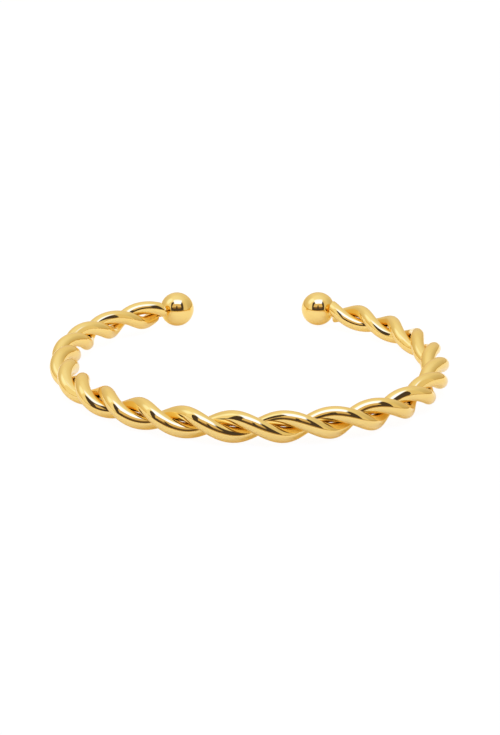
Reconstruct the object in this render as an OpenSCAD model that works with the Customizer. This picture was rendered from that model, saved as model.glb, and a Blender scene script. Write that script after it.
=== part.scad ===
// Open torque bangle: two round wires twisted into a rope, bent into a cuff, with a ball on each end.
// Millimetres, +Z up. It lies on its side on z = 0 with its middle over the origin, its front
// towards -Y and its opening towards +Y.

/* [Bend] */
// Radius of the rope's middle line from the front round the left side, bent by hand
loop_left_r = 30; // [28:0.5:34]
// The same round the right side
loop_right_r = 32; // [28:0.5:34]
// Angle that this round bend covers on each side of the front
round_angle = 119; // [110:1:138]
// Radius of the flatter bend that runs on to each ball
end_r = 37; // [34:1:60]
// Length of the middle line from the front to each ball's centre
arm_len = 84.2; // [80:0.1:86]
// Tilt at which both balls and the front of the rope touch the surface
rest_tilt = 0.7; // [0:0.01:1.5]

/* [Wires] */
// Diameter of each wire
wire_d = 2.4; // [2:0.1:2.6]
// Gap between the two wires where they lie side by side
wire_gap = 0.04; // [0.02:0.01:0.2]
// Length of rope in which each wire goes round once
pitch = 14.85; // [13:0.05:18]
// Where the first wire lies at the front: 0 is outermost and 90 is underneath
start_angle = 165; // [0:1:359]
// Turn that the hand twist is ahead of an even one at the left ball
drift_left = -75; // [-120:1:90]
// The same at the right ball
drift_right = -95; // [-120:1:90]

/* [Slack by the left ball] */
// Further turn that the wires have at the ball
slack_turn = 94; // [0:1:120]
// Length of rope over which it fades away
slack_turn_len = 13; // [8:0.5:16]
// How far each wire stands off the rope's middle where they part
slack_lift = 0.21; // [0:0.01:0.5]
// Distance of that place from the ball's centre
slack_at = 10.5; // [9:0.5:16]
// Length of rope over which they close up again
slack_lift_len = 3.5; // [3:0.5:8]

/* [Balls] */
// Diameter of the ball on each end
ball_d = 6.3; // [5.5:0.1:8]
// Gap between the left ball and the flat-sawn ends of the wires
end_gap_left = 0.9; // [0.3:0.05:1.4]
// The same at the right ball, where they are sawn closer
end_gap_right = 0.3; // [0.3:0.05:1.4]
// Diameter of the neck of solder that fills these gaps
solder_d = 1.8; // [1:0.1:2.2]
// Diameter to which it spreads where it meets the ball
solder_root_d = 2.2; // [2.2:0.1:3.2]
// How far past the ball's surface it spreads
solder_flare = 0.2; // [0.1:0.05:0.2]

/* [Hidden] */
GOLD = "#e6bd5c";
PALE_GOLD = "#edcb74";

// Flats round a wire, and stations along it
wire_sides = 14;
wire_stations = 210;
// Half the length over which a wire's direction is taken
direction_step = 0.01;
// Gap that keeps the solder just clear of the wires
solder_gap = 0.05;

half_turn = 180;
LEFT = -1;
RIGHT = 1;
helix_r = (wire_d + wire_gap) / 2;
left_reach = arm_len - ball_d / 2 - end_gap_left;
right_reach = arm_len - ball_d / 2 - end_gap_right;
solder_root_at = sqrt(pow(ball_d / 2, 2) - pow(solder_root_d / 2, 2));

function unit(v) = v / norm(v);
function bell(x) = exp(-x * x);

function loop_r(s) = s < 0 ? loop_left_r : loop_right_r;

// Heading of the rope at distance s along its middle line: 0 at the front, positive to the right
function heading(s) =
    let (past = abs(s) - loop_r(s) * round_angle * PI / 180)
    past < 0
        ? s / loop_r(s) * 180 / PI
        : sign(s) * (round_angle + past / end_r * 180 / PI);

// Point of the middle line, an arc of the side's own radius and then one of end_r
function middle(s) =
    let (h = heading(s), a = max(-round_angle, min(round_angle, h)), r = loop_r(s))
    [
        r * sin(a) + end_r * (sin(h) - sin(a)),
        r * (1 - cos(a)) + end_r * (cos(a) - cos(h)),
        0
    ];

// Angle of the first wire round the middle line: an even twist, its drift and the slack
function twist(s) =
    let (u = s / arm_len)
    start_angle + 360 * s / pitch
        + u * u * (drift_right * (1 + u) + drift_left * (1 - u)) / 2
        + slack_turn * bell((s + arm_len) / slack_turn_len);

// Distance of a wire from the middle line
function wire_offset(s) = helix_r + slack_lift * bell((s + arm_len - slack_at) / slack_lift_len);

// Point of a wire's own middle line, where turn sets one wire against the other
function wire_point(s, turn) =
    let (h = heading(s), t = twist(s) + turn)
    middle(s) + wire_offset(s) * [cos(t) * sin(h), -cos(t) * cos(h), -sin(t)];

function wire_direction(s, turn) =
    unit(wire_point(s + direction_step, turn) - wire_point(s - direction_step, turn));

// Round section of a wire, square to the wire
function wire_ring(s, turn) =
    let (
        centre = wire_point(s, turn),
        along = wire_direction(s, turn),
        inward = unit(cross([0, 0, 1], along)),
        upward = cross(along, inward)
    )
    [
        for (k = [0 : wire_sides - 1])
            let (a = 360 * k / wire_sides)
            centre + wire_d / 2 * (cos(a) * inward + sin(a) * upward)
    ];

// The same section slid along the wire onto the saw cut, which is square to the rope
function sawn_ring(s, turn) =
    let (
        centre = wire_point(s, turn),
        along = wire_direction(s, turn),
        rope = [cos(heading(s)), sin(heading(s)), 0]
    )
    [for (p = wire_ring(s, turn)) p - along * ((p - centre) * rope) / (along * rope)];

function wire_points(turn) = [
    for (i = [0 : wire_stations - 1])
        let (s = (left_reach + right_reach) * i / (wire_stations - 1) - left_reach)
        each (i == 0 || i == wire_stations - 1 ? sawn_ring(s, turn) : wire_ring(s, turn))
];

wire_faces = concat(
    [[for (k = [0 : wire_sides - 1]) k]],
    [[for (k = [wire_sides - 1 : -1 : 0]) (wire_stations - 1) * wire_sides + k]],
    [
        for (i = [0 : wire_stations - 2], k = [0 : wire_sides - 1])
            let (next = (k + 1) % wire_sides, here = i * wire_sides, there = here + wire_sides)
            [here + k, there + k, there + next, here + next]
    ]
);

// Resting place: tilted about X, lowest point on z = 0, middle of the whole over the origin
function tilted(p) = [
    p.x,
    p.y * cos(rest_tilt) - p.z * sin(rest_tilt),
    p.y * sin(rest_tilt) + p.z * cos(rest_tilt)
];
outer_points = [
    for (turn = [0, half_turn]) each [for (p = wire_points(turn)) tilted(p)],
    for (side = [LEFT, RIGHT], way = [-1, 1])
        tilted(middle(side * arm_len)) + way * ball_d / 2 * [1, 1, 1]
];
low = [for (axis = [0 : 2]) min([for (p = outer_points) p[axis]])];
high = [for (axis = [0 : 2]) max([for (p = outer_points) p[axis]])];

module laid_down() {
    translate([-(low.x + high.x) / 2, -(low.y + high.y) / 2, -low.z])
        rotate([rest_tilt, 0, 0])
            children();
}

// One wire, swept round and along the rope as a closed skin
module wire(turn) {
    polyhedron(points = wire_points(turn), faces = wire_faces, convexity = 12);
}

module strand_a() {
    color(GOLD) laid_down() wire(0);
}

module strand_b() {
    color(GOLD) laid_down() wire(half_turn);
}

// A polished ball with the neck of solder that reaches back to the wires, spread at its root
module ball_end(side) {
    reach = side == LEFT ? left_reach : right_reach;
    translate(middle(side * arm_len)) {
        sphere(d = ball_d, $fn = 96);
        rotate([0, -90 * side, heading(side * reach)]) {
            cylinder(d = solder_d, h = arm_len - reach - solder_gap, $fn = 48);
            translate([0, 0, solder_root_at])
                cylinder(
                    d1 = solder_root_d,
                    d2 = solder_d,
                    h = ball_d / 2 + solder_flare - solder_root_at,
                    $fn = 48
                );
        }
    }
}

module left_ball() {
    color(PALE_GOLD) laid_down() ball_end(LEFT);
}

module right_ball() {
    color(PALE_GOLD) laid_down() ball_end(RIGHT);
}

strand_a();
strand_b();
left_ball();
right_ball();
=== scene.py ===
"""Open torque bangle of two twisted gold wires with a ball on each end, lying on a white table."""

import math

import bpy
import numpy as np
from mathutils import Matrix, Vector


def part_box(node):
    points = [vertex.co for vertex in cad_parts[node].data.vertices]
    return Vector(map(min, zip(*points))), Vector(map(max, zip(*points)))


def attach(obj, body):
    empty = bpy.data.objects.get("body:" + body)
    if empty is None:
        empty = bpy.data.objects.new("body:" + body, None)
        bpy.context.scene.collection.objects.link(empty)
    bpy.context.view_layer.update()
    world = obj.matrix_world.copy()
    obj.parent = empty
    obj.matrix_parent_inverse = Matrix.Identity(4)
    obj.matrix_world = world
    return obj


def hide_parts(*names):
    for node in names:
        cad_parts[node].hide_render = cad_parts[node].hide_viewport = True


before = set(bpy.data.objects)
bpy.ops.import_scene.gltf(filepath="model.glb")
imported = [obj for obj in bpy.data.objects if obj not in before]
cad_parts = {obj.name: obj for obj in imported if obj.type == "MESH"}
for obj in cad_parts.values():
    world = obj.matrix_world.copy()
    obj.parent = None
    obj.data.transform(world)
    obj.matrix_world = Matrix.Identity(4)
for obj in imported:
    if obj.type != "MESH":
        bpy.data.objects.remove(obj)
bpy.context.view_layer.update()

# Real sizes, in millimetres and degrees. The rope's are those of the frame's construction.
MM = 0.001
LOOP_LEFT_R = 30.0
LOOP_RIGHT_R = 32.0
ROUND_ANGLE = 119.0
END_R = 37.0
ARM_LEN = 84.2
REST_TILT = 0.7
# A hair under the construction's 2.4, so that round wires stay inside the box of its flat-sided ones
WIRE_D = 2.376
WIRE_GAP = 0.04
PITCH = 14.85
START_ANGLE = 165.0
DRIFT_LEFT = -75.0
DRIFT_RIGHT = -95.0
SLACK_TURN = 94.0
SLACK_TURN_LEN = 13.0
SLACK_LIFT = 0.21
SLACK_AT = 10.5
SLACK_LIFT_LEN = 3.5
BALL_D = 6.3
END_GAP_LEFT = 0.9
END_GAP_RIGHT = 0.3
SOLDER_D = 1.8
SOLDER_GAP = 0.05

# Finish of the edges, which the construction leaves sharp
SAW_EDGE_R = 0.12
SOLDER_FILLET_R = 0.25
# Length over which a wire's rings lean over into the saw cut
SAW_SKEW_LEN = 3.0

LEFT, RIGHT = -1, 1
WIRE_R = WIRE_D / 2
BALL_R = BALL_D / 2
HELIX_R = (WIRE_D + WIRE_GAP) / 2
LEFT_REACH = ARM_LEN - BALL_R - END_GAP_LEFT
RIGHT_REACH = ARM_LEN - BALL_R - END_GAP_RIGHT
ROUND = math.radians(ROUND_ANGLE)

# How finely the surfaces are cut
WIRE_SIDES = 48
WIRE_STATIONS = 1600
BALL_SIDES = 128
BALL_RINGS = 72
FILLET_STEPS = 7
# Half the length over which a wire's direction is taken
DIRECTION_STEP = 0.01
# Rings that cross the flat end of a wire, and of the solder, as parts of its radius
WIRE_END_RINGS = (0.86, 0.5)
SOLDER_END_RINGS = (0.9, 0.5)

# Patterns in the gold: width, length and height of their marks, in millimetres
DRAW_LINE_W, DRAW_LINE_LEN, DRAW_LINE_H = WIRE_D / 16, 20.0, 0.0002
RIPPLE_W, RIPPLE_LEN, RIPPLE_H = WIRE_D, 2.5, 0.004
PEEL_W, PEEL_H = 1.111, 0.003
WIRE_CLOUD_W, BALL_CLOUD_W = 6.667, 4.545

# The camera, seen from the middle of the bangle: the photograph's angle and distance. The lens is
# given by its focal length in pixels of the image.
LENS_PIXELS = 1306.0
IMAGE_W, IMAGE_H = 500, 735
CAMERA_AIM = (-0.45, -4.25, 2.74)
CAMERA_DISTANCE = 215.0
CAMERA_ELEVATION = 18.48
CAMERA_AZIMUTH = -4.86
CAMERA_ROLL = 1.71
CAMERA_SENSOR = 36.0
CAMERA_CLIP = 1.0

# The table's half width, and how far under it lies the one that the gold reflects
TABLE_HALF = 2000.0
TABLE_STEP = 0.02

# The light over the table: its height, its cloth and the places where it dies away
LIGHT_HEIGHT = 220.0
LIGHT_CLOTH = (-130, -145, 130, 60)
LIGHT_LEFT, LIGHT_RIGHT, LIGHT_BACK = -98.0, 104.0, -25.0
LIGHT_FADE = 18.0
LIGHT_STRENGTH = 4.3

# The tent's front wall: distance from the middle of the bangle, edges and lens opening
WALL_AWAY = 71.4
WALL = (-450, 0, 450, 450)
OPENING = [(-98, 4), (82, 10), (146, 228), (-195, 250)]
# The wall glows with painted light, paler on the left and dimmer to the right over this half width, and
# has painted shade in tan along its foot, fading out between these heights
WALL_SHADE_HALF = 100.0
FOOT_LOW, FOOT_HIGH = 6.0, 16.0

# Soft patches on the tent: azimuth from the front to the right, elevation, spread and strength
DIM_BACK_LEFT = (-130, 22, 35, -0.14)
DIM_RIGHT = (105, 18, 35, -0.14)
GLOW_LEFT = (-93, 46, 24, 0.8)

# Faces that join four corners to four others
BETWEEN_SQUARES = [(k, (k + 1) % 4, 4 + (k + 1) % 4, 4 + k) for k in range(4)]


def loop_radius(s):
    """Radius of the round bend: the left side's below zero, and the right side's above."""
    return np.where(s < 0, LOOP_LEFT_R, LOOP_RIGHT_R)


def heading(s):
    """Heading of the rope in radians: s over the side's radius, then over the end's radius."""
    r = loop_radius(s)
    past = np.clip(np.abs(s) - r * ROUND, 0, None)
    return np.sign(s) * (np.minimum(np.abs(s) / r, ROUND) + past / END_R)


def middle(s):
    """Middle line of the rope: an arc of the side's radius, and then an arc of END_R."""
    h = heading(s)
    r = loop_radius(s)
    a = np.clip(h, -ROUND, ROUND)
    x = r * np.sin(a) + END_R * (np.sin(h) - np.sin(a))
    y = r * (1 - np.cos(a)) + END_R * (np.cos(a) - np.cos(h))
    return np.stack([x, y, 0 * x], -1)


def rope_direction(s):
    """Unit vector along the middle line: the cosine and sine of the heading."""
    h = heading(s)
    return np.stack([np.cos(h), np.sin(h), 0 * h], -1)


def twist(s):
    """Angle of the first wire: even twist, plus a drift that grows as s squared, plus the slack."""
    u = s / ARM_LEN
    drift = u * u * (DRIFT_RIGHT * (1 + u) + DRIFT_LEFT * (1 - u)) / 2
    slack = SLACK_TURN * np.exp(-(((s + ARM_LEN) / SLACK_TURN_LEN) ** 2))
    return np.radians(START_ANGLE + 360 * s / PITCH + drift + slack)


def wire_point(s, turn):
    """Middle of a wire: the rope's middle plus the helix radius turned by the twist angle."""
    h = heading(s)
    t = twist(s) + turn
    away = HELIX_R + SLACK_LIFT * np.exp(-(((s + ARM_LEN - SLACK_AT) / SLACK_LIFT_LEN) ** 2))
    spoke = np.stack([np.cos(t) * np.sin(h), -np.cos(t) * np.cos(h), -np.sin(t)], -1)
    return middle(s) + away[..., None] * spoke


def unit(v):
    """The vectors at length one: each over its own length."""
    return v / np.linalg.norm(v, axis=-1, keepdims=True)


def resting_place():
    """Tilt about X, and the shift that brings the left ball's centre to where the frame has it."""
    c, s = math.cos(math.radians(REST_TILT)), math.sin(math.radians(REST_TILT))
    tilt = np.array([[1, 0, 0], [0, c, -s], [0, s, c]])
    low, high = (np.array(corner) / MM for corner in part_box("left_ball"))
    radius = (high[2] - low[2]) / 2
    centre = high - radius
    return tilt, centre - tilt @ middle(np.float64(-ARM_LEN))


TILT, SHIFT = resting_place()


def placed(points):
    """Construction millimetres to the frame's metres: tilted to rest, then moved onto the balls."""
    return (points @ TILT.T + SHIFT) * MM


def closed_mesh(name, start, rows, end):
    """Piece with a closed skin: rings of points, each joined to the next, and a pole at either end."""
    count, sides = rows.shape[:2]
    points = np.concatenate([[start], rows.reshape(-1, 3), [end]])
    ring = 1 + np.arange(sides)
    after = np.roll(ring, -1)
    here = (np.arange(count - 1) * sides)[:, None]
    quads = np.stack([here + ring, here + after, here + sides + after, here + sides + ring], -1)
    last = (count - 1) * sides
    pole = len(points) - 1
    fan_start = np.stack([0 * ring, after, ring], -1)
    fan_end = np.stack([0 * ring + pole, last + ring, last + after], -1)
    faces = [*quads.reshape(-1, 4).tolist(), *fan_start.tolist(), *fan_end.tolist()]
    mesh = bpy.data.meshes.new(name)
    mesh.from_pydata(placed(points).tolist(), [], faces)
    mesh.shade_smooth()
    piece = bpy.data.objects.new(name, mesh)
    bpy.context.scene.collection.objects.link(piece)
    return piece


def wire_surface(name, turn):
    """A wire: a circle carried along wire_point, square to it.

    Towards each end the circles lean over until they lie in the saw cut, which is square to the
    rope. There the edge is rounded by SAW_EDGE_R, and the flat end closes to a pole. The attribute
    wrap unrolls the skin for its patterns: the place on the circle, and the length along the wire.
    """
    s = np.linspace(SAW_EDGE_R - LEFT_REACH, RIGHT_REACH - SAW_EDGE_R, WIRE_STATIONS)
    centre = wire_point(s, turn)
    along = unit(wire_point(s + DIRECTION_STEP, turn) - wire_point(s - DIRECTION_STEP, turn))
    inward = unit(np.cross([0, 0, 1], along))
    upward = np.cross(along, inward)
    a = np.linspace(0, 2 * np.pi, WIRE_SIDES, endpoint=False)[None, :, None]
    spoke = WIRE_R * (np.cos(a) * inward[:, None] + np.sin(a) * upward[:, None])
    cut = rope_direction(s)
    lean = np.clip(1 - np.minimum(s - s[0], s[-1] - s) / SAW_SKEW_LEN, 0, 1)
    lean = lean * lean * (3 - 2 * lean)
    slide = (spoke @ cut[:, :, None])[..., 0] / (along * cut).sum(-1)[:, None]
    spoke = spoke - (lean[:, None] * slide)[..., None] * along[:, None]

    def sawn_end(i):
        """Rings from the last full one over the rounded edge and in across the flat end."""
        f = np.linspace(0, np.pi / 2, FILLET_STEPS)[1:]
        size = np.concatenate([1 - SAW_EDGE_R / WIRE_R * (1 - np.cos(f)), WIRE_END_RINGS])
        depth = np.concatenate([np.sin(f), [1, 1]]) * SAW_EDGE_R * np.sign(s[i])
        path = depth[:, None] * along[i] / (along[i] @ cut[i])
        rings = centre[i] + path[:, None] + size[:, None, None] * spoke[i]
        return rings, centre[i] + path[-1]

    first, start = sawn_end(0)
    last, end = sawn_end(-1)
    rows = np.concatenate([first[::-1], centre[:, None] + spoke, last])
    piece = closed_mesh(name, start, rows, end)

    length = np.cumsum(np.linalg.norm(np.diff(centre, axis=0, prepend=centre[:1]), axis=-1))
    length = np.concatenate([np.full(len(first), length[0]), length, np.full(len(last), length[-1])])
    wrap = np.zeros(rows.shape)
    wrap[..., :2] = WIRE_R * np.concatenate([np.cos(a), np.sin(a)], -1)
    wrap[..., 2] = length[:, None]
    wrap = np.concatenate([[(0, 0, length[0])], wrap.reshape(-1, 3), [(0, 0, length[-1])]])
    attribute = piece.data.attributes.new("wrap", "FLOAT_VECTOR", "POINT")
    attribute.data.foreach_set("vector", wrap.astype(np.float32).ravel())
    return piece


def ball_surface(name, side):
    """A ball and its neck of solder: one profile turned about the line towards the wires.

    The profile is the ball's circle, a hollow fillet, the solder's straight side and its flat end.
    """
    reach = LEFT_REACH if side == LEFT else RIGHT_REACH
    neck_r = SOLDER_D / 2
    q = SOLDER_FILLET_R
    fillet_at = math.sqrt((BALL_R + q) ** 2 - (neck_r + q) ** 2)
    meet = math.atan2(neck_r + q, -fillet_at)
    t = np.linspace(0, meet, BALL_RINGS + 1)[1:]
    ball = np.stack([-BALL_R * np.cos(t), BALL_R * np.sin(t)], -1)
    swing = np.linspace(math.atan2(neck_r + q, fillet_at), math.pi / 2, FILLET_STEPS + 1)[1:]
    fillet = np.stack([fillet_at - q * np.cos(swing), neck_r + q - q * np.sin(swing)], -1)
    tip = ARM_LEN - reach - SOLDER_GAP
    flat_end = [(tip, neck_r * size) for size in (1, *SOLDER_END_RINGS)]
    profile = np.concatenate([ball, fillet, flat_end])
    centre = middle(np.float64(side * ARM_LEN))
    axis = -side * rope_direction(np.float64(side * reach))
    across = np.array([0.0, 0.0, 1.0])
    third = np.cross(axis, across)
    a = np.linspace(0, 2 * np.pi, BALL_SIDES, endpoint=False)
    spin = np.cos(a)[:, None] * across + np.sin(a)[:, None] * third
    rows = centre + profile[:, :1, None] * axis + profile[:, 1:, None] * spin
    return closed_mesh(name, centre - BALL_R * axis, rows, centre + tip * axis)


def hex_colour(text):
    """sRGB hex to linear red, green, blue and alpha."""
    srgb = [int(text[i : i + 2], 16) / 255 for i in (0, 2, 4)]
    linear = [c / 12.92 if c <= 0.04045 else ((c + 0.055) / 1.055) ** 2.4 for c in srgb]
    return (*linear, 1.0)


def add(tree, kind, inputs=None, stops=(), **settings):
    """Adds one node: its settings, each input linked or set, and the stops if it is a ramp."""
    made = tree.nodes.new(kind)
    for key, value in settings.items():
        setattr(made, key, value)
    for key, value in (inputs or {}).items():
        if isinstance(value, bpy.types.NodeSocket):
            tree.links.new(value, made.inputs[key])
        else:
            made.inputs[key].default_value = value
    # A new ramp already has two stops
    for _ in stops[2:]:
        made.color_ramp.elements.new(0.5)
    for k, (at, colour) in enumerate(stops):
        made.color_ramp.elements[k].position = at
        made.color_ramp.elements[k].color = hex_colour(colour)
    return made


def new_material(name):
    """An empty material, and its node tree."""
    material = bpy.data.materials.new(name)
    material.use_nodes = True
    material.node_tree.nodes.clear()
    return material, material.node_tree


def gold_plated_wire():
    """Drawn wire, polished and gold plated: a mirror with faint draw lines and ripples.

    Drawing leaves lines along the wire. Real ones are finer than a pixel, so they are drawn
    0.15 mm apart, which lets them show. Twisting leaves shallow ripples about 2.5 mm long, so the
    edges of reflections waver a little.
    """
    material, tree = new_material("gold plate on drawn wire")
    wrap = add(tree, "ShaderNodeAttribute", attribute_name="wrap").outputs["Vector"]
    line_scale = (1 / DRAW_LINE_W, 1 / DRAW_LINE_W, 1 / DRAW_LINE_LEN)
    lines_at = add(tree, "ShaderNodeMapping", {"Vector": wrap, "Scale": line_scale}).outputs[0]
    lines = add(tree, "ShaderNodeTexNoise", {"Vector": lines_at, "Scale": 1, "Detail": 3})
    ripple_scale = (1 / RIPPLE_W, 1 / RIPPLE_W, 1 / RIPPLE_LEN)
    ripples_at = add(tree, "ShaderNodeMapping", {"Vector": wrap, "Scale": ripple_scale}).outputs[0]
    ripples = add(tree, "ShaderNodeTexNoise", {"Vector": ripples_at, "Scale": 1, "Detail": 2})
    place = add(tree, "ShaderNodeTexCoord").outputs["Object"]
    cloud_scale = 1 / (WIRE_CLOUD_W * MM)
    clouds = add(tree, "ShaderNodeTexNoise", {"Vector": place, "Scale": cloud_scale, "Detail": 3})
    tone = add(
        tree,
        "ShaderNodeMix",
        {"Factor": clouds.outputs["Fac"], "A": hex_colour("F2CE79"), "B": hex_colour("F8DB8E")},
        data_type="RGBA",
    )
    gloss = add(
        tree,
        "ShaderNodeMapRange",
        {"Value": lines.outputs["Fac"], "From Min": 0.3, "From Max": 0.7, "To Min": 0.02, "To Max": 0.06},
    )
    rippled = add(
        tree,
        "ShaderNodeBump",
        {"Height": ripples.outputs["Fac"], "Strength": 1.0, "Distance": RIPPLE_H * MM},
    )
    lined = add(
        tree,
        "ShaderNodeBump",
        {
            "Height": lines.outputs["Fac"],
            "Strength": 1.0,
            "Distance": DRAW_LINE_H * MM,
            "Normal": rippled.outputs["Normal"],
        },
    )
    shader = add(
        tree,
        "ShaderNodeBsdfPrincipled",
        {
            "Base Color": tone.outputs["Result"],
            "Metallic": 1.0,
            "Roughness": gloss.outputs["Result"],
            "Normal": lined.outputs["Normal"],
        },
    )
    add(tree, "ShaderNodeOutputMaterial", {"Surface": shader.outputs[0]})
    return material


def gold_plated_ball():
    """Turned ball, buffed and gold plated: a clean mirror with a trace of buffing haze.

    Buffing leaves a faint orange peel, with marks about 1 mm wide.
    """
    material, tree = new_material("gold plate on polished ball")
    place = add(tree, "ShaderNodeTexCoord").outputs["Object"]
    cloud_scale = 1 / (BALL_CLOUD_W * MM)
    clouds = add(tree, "ShaderNodeTexNoise", {"Vector": place, "Scale": cloud_scale, "Detail": 4})
    tone = add(
        tree,
        "ShaderNodeMix",
        {"Factor": clouds.outputs["Fac"], "A": hex_colour("F4D27F"), "B": hex_colour("F8DA8C")},
        data_type="RGBA",
    )
    gloss = add(
        tree,
        "ShaderNodeMapRange",
        {"Value": clouds.outputs["Fac"], "From Min": 0.3, "From Max": 0.7, "To Min": 0.02, "To Max": 0.05},
    )
    peel_scale = 1 / (PEEL_W * MM)
    peel = add(tree, "ShaderNodeTexNoise", {"Vector": place, "Scale": peel_scale, "Detail": 1})
    dimpled = add(
        tree, "ShaderNodeBump", {"Height": peel.outputs["Fac"], "Strength": 1.0, "Distance": PEEL_H * MM}
    )
    shader = add(
        tree,
        "ShaderNodeBsdfPrincipled",
        {
            "Base Color": tone.outputs["Result"],
            "Metallic": 1.0,
            "Roughness": gloss.outputs["Result"],
            "Normal": dimpled.outputs["Normal"],
        },
    )
    add(tree, "ShaderNodeOutputMaterial", {"Surface": shader.outputs[0]})
    return material


def finish_piece(piece, material, node):
    """Gives a piece its material, hangs it on the root body, and hides the solid that it stands for."""
    piece.data.materials.append(material)
    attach(piece, "root")
    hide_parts(node)


def rectangle(left, low, right, high):
    """The four corners of a rectangle, in order round it."""
    return [(left, low), (right, low), (right, high), (left, high)]


def stage_sheet(name, points, faces, material):
    """A flat stage surface in millimetres, hidden from the camera but not from reflections."""
    mesh = bpy.data.meshes.new(name)
    mesh.from_pydata((np.array(points) * MM).tolist(), [], faces)
    mesh.materials.append(material)
    sheet = bpy.data.objects.new(name, mesh)
    bpy.context.scene.collection.objects.link(sheet)
    sheet.visible_camera = False
    return sheet


def camera_only(sheet):
    """Shows a stage sheet to the camera, and keeps it out of reflections, light and shadow."""
    sheet.visible_camera = True
    sheet.visible_glossy = False
    sheet.visible_diffuse = False
    sheet.visible_shadow = False


def front_card(name, away, corners, colour):
    """An upright card in front of the bangle, from its corners' x and z, that glows evenly in its colour:
    painted light where it is pale, painted shade where it is dark.
    """
    material, tree = new_material(name.replace("_", " "))
    light = add(tree, "ShaderNodeEmission", {"Color": hex_colour(colour)})
    add(tree, "ShaderNodeOutputMaterial", {"Surface": light.outputs[0]})
    stage_sheet(name, [(x, -away, z) for x, z in corners], [(0, 1, 2, 3)], material)


def soft_light():
    """The light overhead, a cold white that dies away at its sides and towards the back."""
    material, tree = new_material("diffuser cloth with a lamp behind")
    place = add(tree, "ShaderNodeTexCoord").outputs["Object"]
    parts = add(tree, "ShaderNodeSeparateXYZ", {0: place}).outputs
    lit = 1.0
    for part, dark, bright in (
        (parts["X"], LIGHT_LEFT - LIGHT_FADE, LIGHT_LEFT + LIGHT_FADE),
        (parts["X"], LIGHT_RIGHT + LIGHT_FADE, LIGHT_RIGHT - LIGHT_FADE),
        (parts["Y"], LIGHT_BACK + 3 * LIGHT_FADE, LIGHT_BACK - LIGHT_FADE),
    ):
        edge = add(
            tree,
            "ShaderNodeMapRange",
            {"Value": part, "From Min": dark * MM, "From Max": bright * MM},
            interpolation_type="SMOOTHSTEP",
        )
        both = {0: lit, 1: edge.outputs["Result"]}
        lit = add(tree, "ShaderNodeMath", both, operation="MULTIPLY").outputs[0]
    lamp = add(tree, "ShaderNodeEmission", {"Color": hex_colour("95AAFF"), "Strength": LIGHT_STRENGTH})
    clear = add(tree, "ShaderNodeBsdfTransparent")
    cloth = add(tree, "ShaderNodeMixShader", {0: lit, 1: clear.outputs[0], 2: lamp.outputs[0]})
    add(tree, "ShaderNodeOutputMaterial", {"Surface": cloth.outputs[0]})
    return material


def table_card(name, card_colour, lamp_colour, glow_under):
    """Matt card over a lamp: it scatters the light that falls on it, and gives off glow_under."""
    material, tree = new_material(name)
    matt = add(tree, "ShaderNodeBsdfDiffuse", {"Color": hex_colour(card_colour)})
    lamp = add(tree, "ShaderNodeEmission", {"Color": hex_colour(lamp_colour), "Strength": glow_under})
    both = add(tree, "ShaderNodeAddShader", {0: matt.outputs[0], 1: lamp.outputs[0]})
    add(tree, "ShaderNodeOutputMaterial", {"Surface": both.outputs[0]})
    return material


def painted_tent_wall():
    """The tent's front wall, glowing with painted light: paler on the left, and with painted shade in tan
    along its foot.
    """
    material, tree = new_material("tent wall with painted light and shade")
    place = add(tree, "ShaderNodeTexCoord").outputs["Object"]
    parts = add(tree, "ShaderNodeSeparateXYZ", {0: place}).outputs
    across = add(
        tree,
        "ShaderNodeMapRange",
        {"Value": parts["X"], "From Min": -WALL_SHADE_HALF * MM, "From Max": WALL_SHADE_HALF * MM},
        interpolation_type="SMOOTHSTEP",
    )
    # Painted light: paler on the left, dimmer to the right
    shades = [(0.0, "FDF9EC"), (1.0, "ECE2CB")]
    cloth = add(tree, "ShaderNodeValToRGB", {"Fac": across.outputs["Result"]}, shades)
    upwards = add(
        tree,
        "ShaderNodeMapRange",
        {"Value": parts["Z"], "From Min": FOOT_LOW * MM, "From Max": FOOT_HIGH * MM},
        interpolation_type="SMOOTHSTEP",
    )
    # Painted shade: tan along the foot, where the wall meets the table
    foot = {"Factor": upwards.outputs["Result"], "A": hex_colour("C5A673"), "B": cloth.outputs["Color"]}
    mixed = add(tree, "ShaderNodeMix", foot, data_type="RGBA")
    light = add(tree, "ShaderNodeEmission", {"Color": mixed.outputs["Result"]})
    add(tree, "ShaderNodeOutputMaterial", {"Surface": light.outputs[0]})
    return material


def patch(tree, way, azimuth, elevation, spread, strength):
    """A soft round patch on the tent's wall, azimuth counted from the front to the right."""
    az, el = math.radians(azimuth), math.radians(elevation)
    direction = (math.sin(az) * math.cos(el), -math.cos(az) * math.cos(el), math.sin(el))
    lined_up = add(tree, "ShaderNodeVectorMath", {0: way, 1: direction}, operation="DOT_PRODUCT")
    rim = math.cos(math.radians(spread))
    soft = add(
        tree,
        "ShaderNodeMapRange",
        {"Value": lined_up.outputs["Value"], "From Min": rim, "From Max": 1.0, "To Max": strength},
        interpolation_type="SMOOTHSTEP",
    )
    return soft.outputs["Result"]


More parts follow.
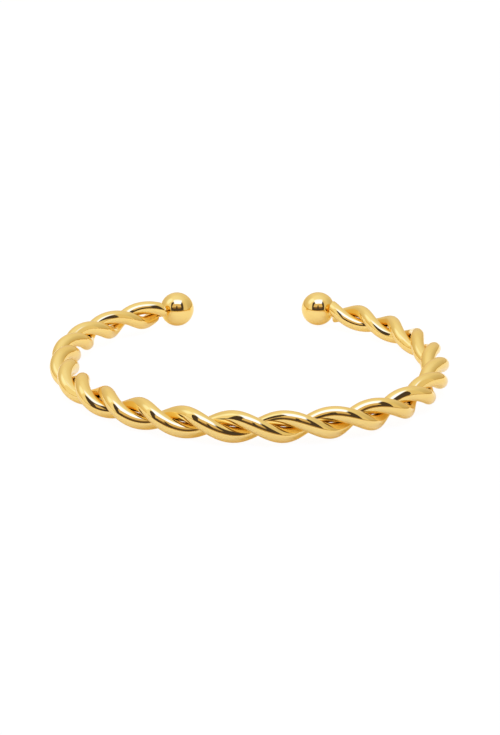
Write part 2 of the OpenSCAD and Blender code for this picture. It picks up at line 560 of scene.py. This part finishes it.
def tent():
    """The white tent round the set: warm and dim low down, paler above, and lit more on the left."""
    world = bpy.data.worlds.new("tent")
    bpy.context.scene.world = world
    world.use_nodes = True
    tree = world.node_tree
    tree.nodes.clear()
    way = add(tree, "ShaderNodeTexCoord").outputs["Generated"]
    parts = add(tree, "ShaderNodeSeparateXYZ", {0: way}).outputs
    upwards = [
        (0.0, "CEAD7C"),
        (0.06, "DAC49B"),
        (0.14, "E7DABC"),
        (0.30, "EADEC5"),
        (0.50, "F1EAD7"),
        (0.75, "F3EFE2"),
        (0.95, "FAFDFF"),
    ]
    walls = add(tree, "ShaderNodeValToRGB", {"Fac": parts["Z"]}, upwards)
    sides = add(
        tree,
        "ShaderNodeMapRange",
        {"Value": parts["X"], "From Min": -1.0, "From Max": 1.0, "To Min": 1.1, "To Max": 0.96},
        interpolation_type="SMOOTHSTEP",
    )
    strength = sides.outputs["Result"]
    for dim in (DIM_BACK_LEFT, DIM_RIGHT):
        both = {0: strength, 1: patch(tree, way, *dim)}
        strength = add(tree, "ShaderNodeMath", both, operation="ADD").outputs[0]
    cloth = add(tree, "ShaderNodeBackground", {"Color": walls.outputs["Color"], "Strength": strength})
    glow_left = patch(tree, way, *GLOW_LEFT)
    bounce = add(tree, "ShaderNodeBackground", {"Color": hex_colour("7CB3FF"), "Strength": glow_left})
    lit = add(tree, "ShaderNodeAddShader", {0: cloth.outputs[0], 1: bounce.outputs[0]})
    add(tree, "ShaderNodeOutputWorld", {"Surface": lit.outputs[0]})


def table():
    """The table twice: evenly white as the camera takes it, and as the gold reflects it.

    A white backdrop stands on its four sides, for a camera that looks further up.
    """
    square = rectangle(-TABLE_HALF, -TABLE_HALF, TABLE_HALF, TABLE_HALF)
    top = [(x, y, 0) for x, y in square]
    raised = [(x, y, TABLE_HALF) for x, y in square]
    under = [(x, y, -TABLE_STEP) for x, y in square]
    white = table_card("white table", "595959", "FFFFFF", 0.95)
    warm_white = table_card("white table in reflections", "F1F0DF", "FFF1C4", 0.3)
    camera_only(stage_sheet("table", top, [(0, 1, 2, 3)], white))
    camera_only(stage_sheet("backdrop", top + raised, BETWEEN_SQUARES, white))
    stage_sheet("table_in_reflections", under, [(0, 1, 2, 3)], warm_white)


def studio():
    """White table and tent, a soft light overhead and the dark opening that the lens looks in by, with
    glowing cards behind it that paint the light and shade seen through it.
    """
    table()
    light = [(x, y, LIGHT_HEIGHT) for x, y in rectangle(*LIGHT_CLOTH)]
    stage_sheet("light", light, [(0, 1, 2, 3)], soft_light())
    front = [(x, -WALL_AWAY, z) for x, z in rectangle(*WALL) + OPENING]
    stage_sheet("tent_front", front, BETWEEN_SQUARES, painted_tent_wall())
    # Glowing cards behind the opening: the black one is painted shade for the unlit room, the tan one
    # painted light and the brown one painted shade on what stands in the opening, and the middle one
    # painted shade, a dark patch at its middle
    front_card("unlit_room_painted_shade", 320, rectangle(-1500, -100, 1500, 1500), "4D4548")
    front_card("tan_card", 242, rectangle(-235, 146, 150, 400), "E7D4B5")
    front_card("brown_card", 243, rectangle(-170, 90, 110, 146), "907452")
    front_card("middle_card", 240, [(-62, 60), (8, 60), (-8, 215), (-46, 215)], "4D4548")
    tent()


def camera():
    """The photograph's view: azimuth, elevation and roll about the aim point."""
    el, az, roll = (math.radians(v) for v in (CAMERA_ELEVATION, CAMERA_AZIMUTH, CAMERA_ROLL))
    back = Vector((math.sin(az) * math.cos(el), -math.cos(az) * math.cos(el), math.sin(el)))
    level = Vector((math.cos(az), math.sin(az), 0))
    up = back.cross(level)
    right = math.cos(roll) * level + math.sin(roll) * up
    up = back.cross(right)
    data = bpy.data.cameras.new("camera")
    data.sensor_width = CAMERA_SENSOR
    data.lens = LENS_PIXELS / max(IMAGE_W, IMAGE_H) * CAMERA_SENSOR
    data.clip_start = CAMERA_CLIP * MM
    made = bpy.data.objects.new("camera", data)
    place = (Vector(CAMERA_AIM) + CAMERA_DISTANCE * back) * MM
    made.matrix_world = Matrix.Translation(place) @ Matrix((right, up, back)).transposed().to_4x4()
    bpy.context.scene.collection.objects.link(made)
    bpy.context.scene.camera = made


camera()
studio()
wire_gold = gold_plated_wire()
ball_gold = gold_plated_ball()
finish_piece(wire_surface("twisted_wire_a", 0.0), wire_gold, "strand_a")
finish_piece(wire_surface("twisted_wire_b", math.pi), wire_gold, "strand_b")
finish_piece(ball_surface("ball_end_left", LEFT), ball_gold, "left_ball")
finish_piece(ball_surface("ball_end_right", RIGHT), ball_gold, "right_ball")

view = bpy.context.scene.view_settings
view.view_transform = "Standard"
view.look = "None"
